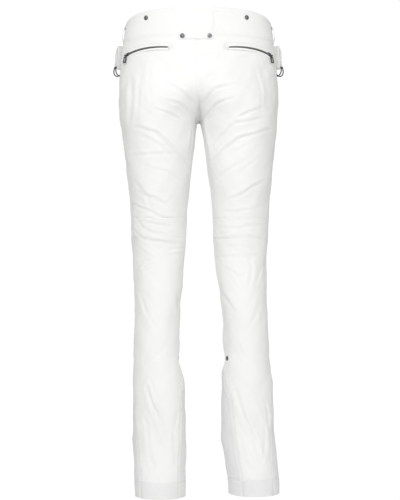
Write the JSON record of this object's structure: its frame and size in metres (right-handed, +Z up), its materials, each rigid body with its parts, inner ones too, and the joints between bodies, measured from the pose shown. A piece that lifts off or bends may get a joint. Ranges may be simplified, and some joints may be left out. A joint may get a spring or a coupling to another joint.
{
  "type": "ski pants",
  "caption": "Slim ski pants with a shaped waistband, fly and back pocket zips, hip straps with D rings, hinged knees and gusseted hems.",
  "frame": {"origin": "centre of the waist opening, level with the top of the back waistband", "axes": "+Z up, -Y the wearer's front, +X the wearer's left"},
  "size_m": [0.3664, 0.2115, 1.036],
  "materials": {
    "shell_fabric": "matt woven stretch shell",
    "band_fabric": "matt woven stretch shell, faced",
    "hem_fabric": "matt woven, doubled",
    "gusset_fabric": "matt woven",
    "strap_fabric": "matt woven, folded",
    "lining": "soft lining",
    "zip_coil": "matt coil and tape",
    "zip_metal": "dark gunmetal",
    "ring_wire": "dark gunmetal, satin",
    "snap_metal": "gunmetal, satin"
  },
  "bodies": {
    "pants": {"waistband_back": "band_fabric", "waistband_front_left": "band_fabric", "waistband_front_right": "band_fabric", "waistband_facing": "lining", "tab_snap_studs": "snap_metal", "waist_rivets": "snap_metal", "belt_loops": "band_fabric", "back_tab": "band_fabric", "fly_zip_chain": "zip_coil", "fly_shield": "lining", "back_panel_left": "shell_fabric", "back_panel_right": "shell_fabric", "front_panel_left": "shell_fabric", "front_panel_right": "shell_fabric", "knee_back_left": "shell_fabric", "knee_back_right": "shell_fabric", "knee_front_left": "shell_fabric", "knee_front_right": "shell_fabric", "back_pocket_bag_left": "lining", "back_pocket_bag_right": "lining", "back_zip_chain_left": "zip_coil", "back_zip_chain_right": "zip_coil"},
    "waist_tab": {"waist_tab": "band_fabric", "tab_snap_caps": "snap_metal"},
    "fly_slider": {"fly_zip_slider": "zip_metal"},
    "fly_pull": {"fly_zip_pull": "zip_metal"},
    "shin_left": {"shin_back_left": "shell_fabric", "shin_front_left": "shell_fabric", "side_gusset_left": "gusset_fabric", "inner_gusset_left": "gusset_fabric", "hem_left": "hem_fabric", "snow_gaiter_left": "lining", "calf_snap_left": "snap_metal"},
    "back_slider_left": {"back_zip_slider_left": "zip_metal"},
    "back_pull_left": {"back_zip_pull_left": "zip_metal"},
    "strap_left": {"side_strap_left": "strap_fabric"},
    "rings_left": {"d_rings_left": "ring_wire"},
    "shin_right": {"shin_back_right": "shell_fabric", "shin_front_right": "shell_fabric", "side_gusset_right": "gusset_fabric", "inner_gusset_right": "gusset_fabric", "hem_right": "hem_fabric", "snow_gaiter_right": "lining", "calf_snap_right": "snap_metal"},
    "back_slider_right": {"back_zip_slider_right": "zip_metal"},
    "back_pull_right": {"back_zip_pull_right": "zip_metal"},
    "strap_right": {"side_strap_right": "strap_fabric"},
    "rings_right": {"d_rings_right": "ring_wire"}
  },
  "joints": [
    {"name": "tab_hinge", "type": "hinge", "parent": "pants", "child": "waist_tab", "pos_m": [0.017, -0.0932, -0.069], "axis": [0, 0, 1], "range_deg": [0, 140]},
    {"name": "fly_zip", "type": "slide", "parent": "pants", "child": "fly_slider", "axis": [0, -0.0854, -0.9963], "range_m": [0, 0.044]},
    {"name": "fly_pull_swing", "type": "hinge", "parent": "fly_slider", "child": "fly_pull", "pos_m": [0, -0.09366, -0.09872], "axis": [-1, 0, 0], "range_deg": [0, 110]},
    {"name": "knee_left", "type": "hinge", "parent": "pants", "child": "shin_left", "pos_m": [0.088, -0.008, -0.505], "axis": [1, 0, 0], "range_deg": [0, 90], "deforming": ["knee_back_left", "knee_front_left"]},
    {"name": "back_zip_left", "type": "hinge", "parent": "pants", "child": "back_slider_left", "pos_m": [0.044, -0.03, -0.156], "axis": [-0.1792, -0.4668, 0.866], "range_deg": [0, 38]},
    {"name": "back_pull_swing_left", "type": "hinge", "parent": "back_slider_left", "child": "back_pull_left", "pos_m": [0.1549, 0.041, -0.096], "axis": [0.6157, -0.788, 0], "range_deg": [0, 100]},
    {"name": "strap_flip_left", "type": "hinge", "parent": "pants", "child": "strap_left", "pos_m": [0.1668, -0.019, -0.068], "axis": [-0.6428, -0.766, 0], "range_deg": [0, 110]},
    {"name": "ring_swing_left", "type": "hinge", "parent": "strap_left", "child": "rings_left", "pos_m": [0.17255, -0.02382, -0.114], "axis": [-0.6428, -0.766, 0], "range_deg": [0, 100]},
    {"name": "knee_right", "type": "hinge", "parent": "pants", "child": "shin_right", "pos_m": [-0.088, -0.008, -0.505], "axis": [1, 0, 0], "range_deg": [0, 90], "deforming": ["knee_back_right", "knee_front_right"]},
    {"name": "back_zip_right", "type": "hinge", "parent": "pants", "child": "back_slider_right", "pos_m": [-0.044, -0.03, -0.156], "axis": [-0.1792, 0.4668, -0.866], "range_deg": [0, 38]},
    {"name": "back_pull_swing_right", "type": "hinge", "parent": "back_slider_right", "child": "back_pull_right", "pos_m": [-0.1549, 0.041, -0.096], "axis": [0.6157, 0.788, 0], "range_deg": [0, 100]},
    {"name": "strap_flip_right", "type": "hinge", "parent": "pants", "child": "strap_right", "pos_m": [-0.1668, -0.019, -0.068], "axis": [-0.6428, 0.766, 0], "range_deg": [0, 110]},
    {"name": "ring_swing_right", "type": "hinge", "parent": "strap_right", "child": "rings_right", "pos_m": [-0.17255, -0.02382, -0.114], "axis": [-0.6428, 0.766, 0], "range_deg": [0, 100]}
  ]
}
